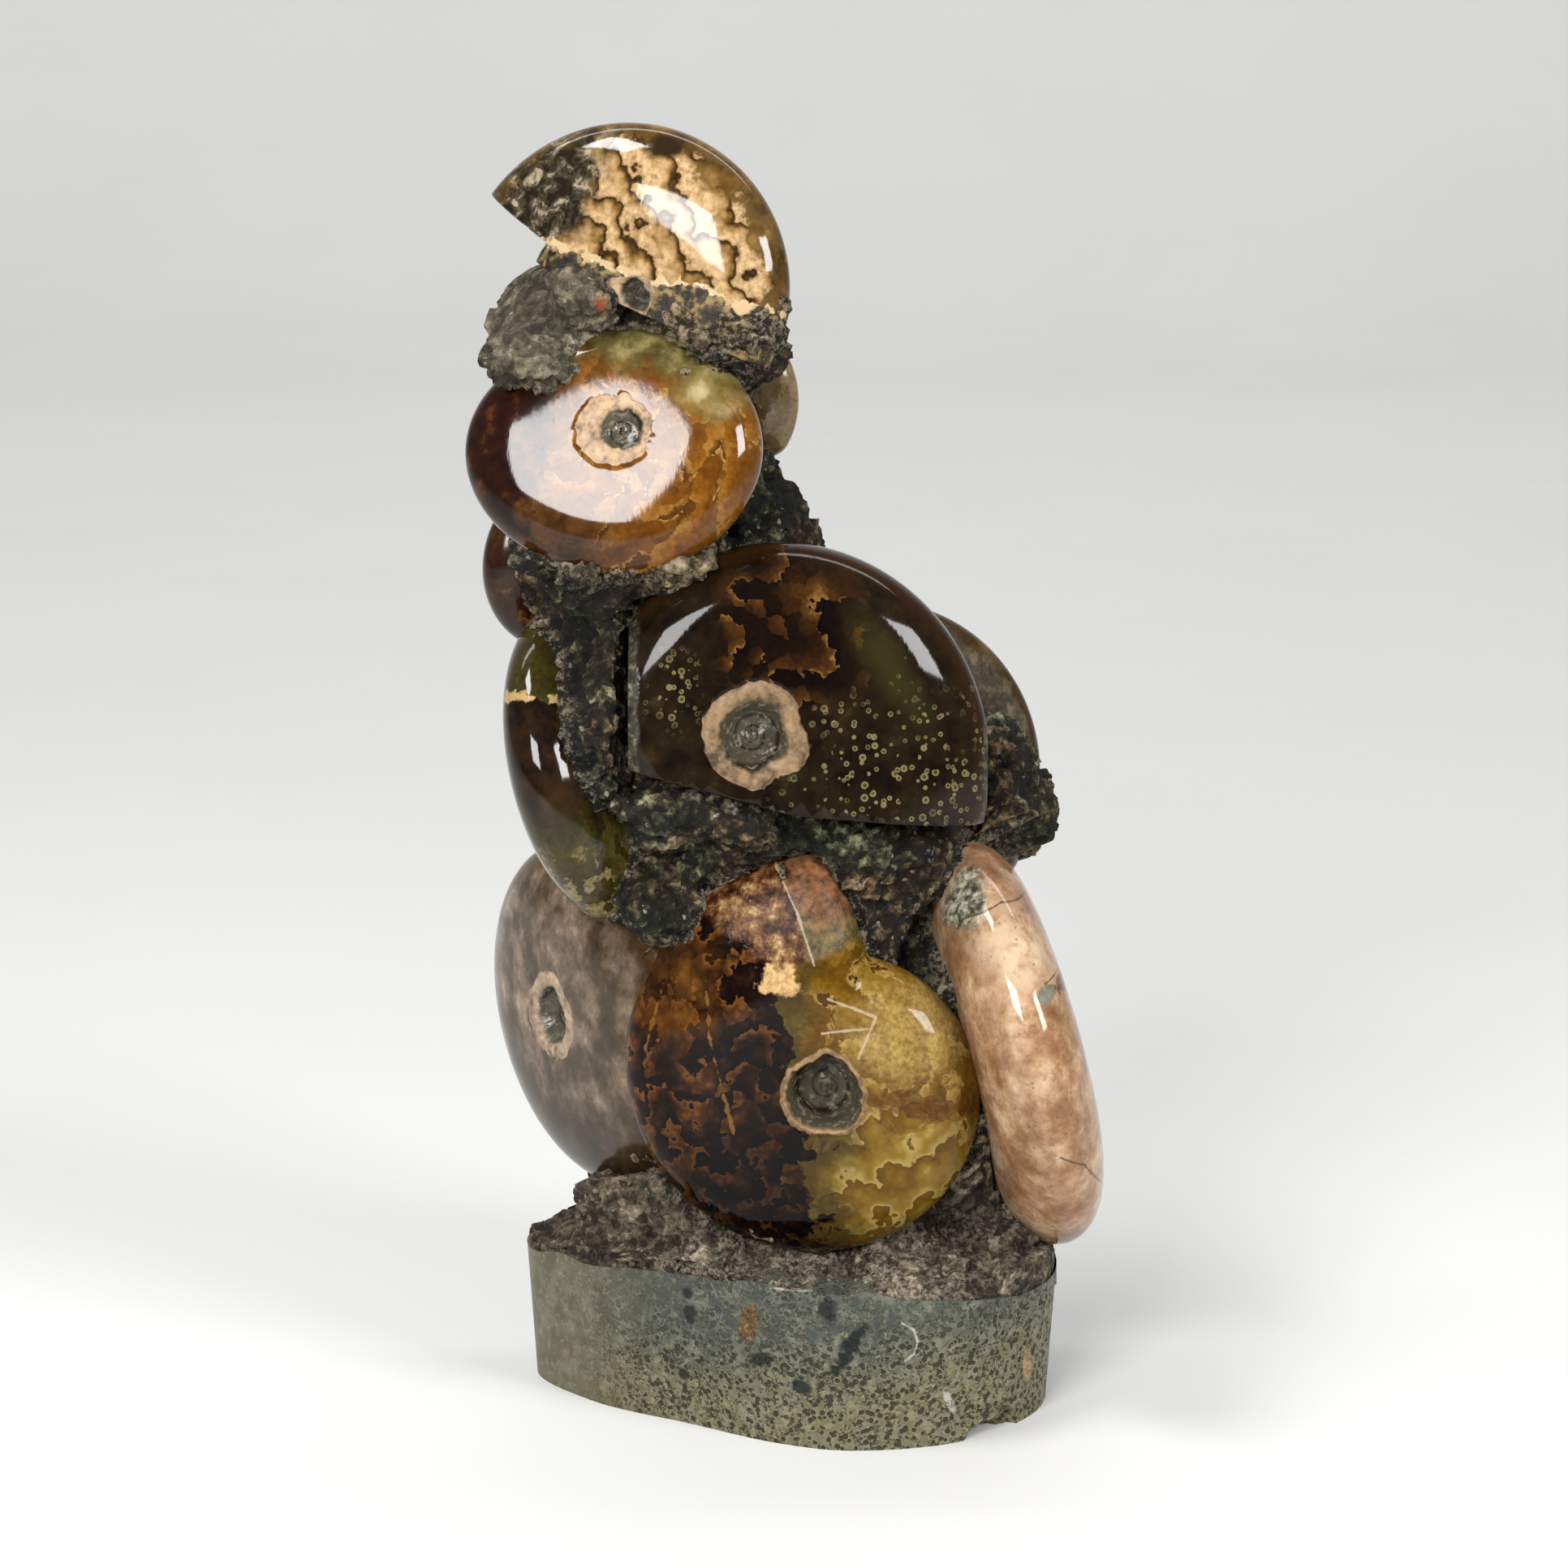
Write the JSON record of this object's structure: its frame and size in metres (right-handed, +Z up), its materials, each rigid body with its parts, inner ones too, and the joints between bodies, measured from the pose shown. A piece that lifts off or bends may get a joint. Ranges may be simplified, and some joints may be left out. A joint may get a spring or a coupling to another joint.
{
  "type": "ammonite cluster",
  "caption": "Free-standing cluster of polished ammonites held in a rough rock column with a sawn, ground foot.",
  "frame": {"origin": "in the sawn base face, under the middle of the foot", "axes": "+X to the right of the side that is looked at, +Y to its back, +Z up the column"},
  "size_m": [0.0775, 0.0508, 0.158],
  "materials": {
    "rough_rock": "rough above, ground smooth on the foot",
    "tan_shell": "polished",
    "amber_shell": "polished",
    "dark_shell": "polished",
    "olive_shell": "polished",
    "pink_shell": "polished"
  },
  "bodies": {
    "root": {"rock_matrix": "rough_rock", "ammonite_top": "tan_shell", "ammonite_upper": "amber_shell", "ammonite_centre": "dark_shell", "ammonite_left": "olive_shell", "ammonite_lower": "amber_shell", "ammonite_right": "pink_shell", "ammonite_lower_left": "pink_shell", "ammonite_behind_right": "olive_shell", "ammonite_behind_top": "olive_shell", "ammonite_behind_left": "dark_shell", "ammonite_back": "amber_shell"}
  },
  "joints": []
}
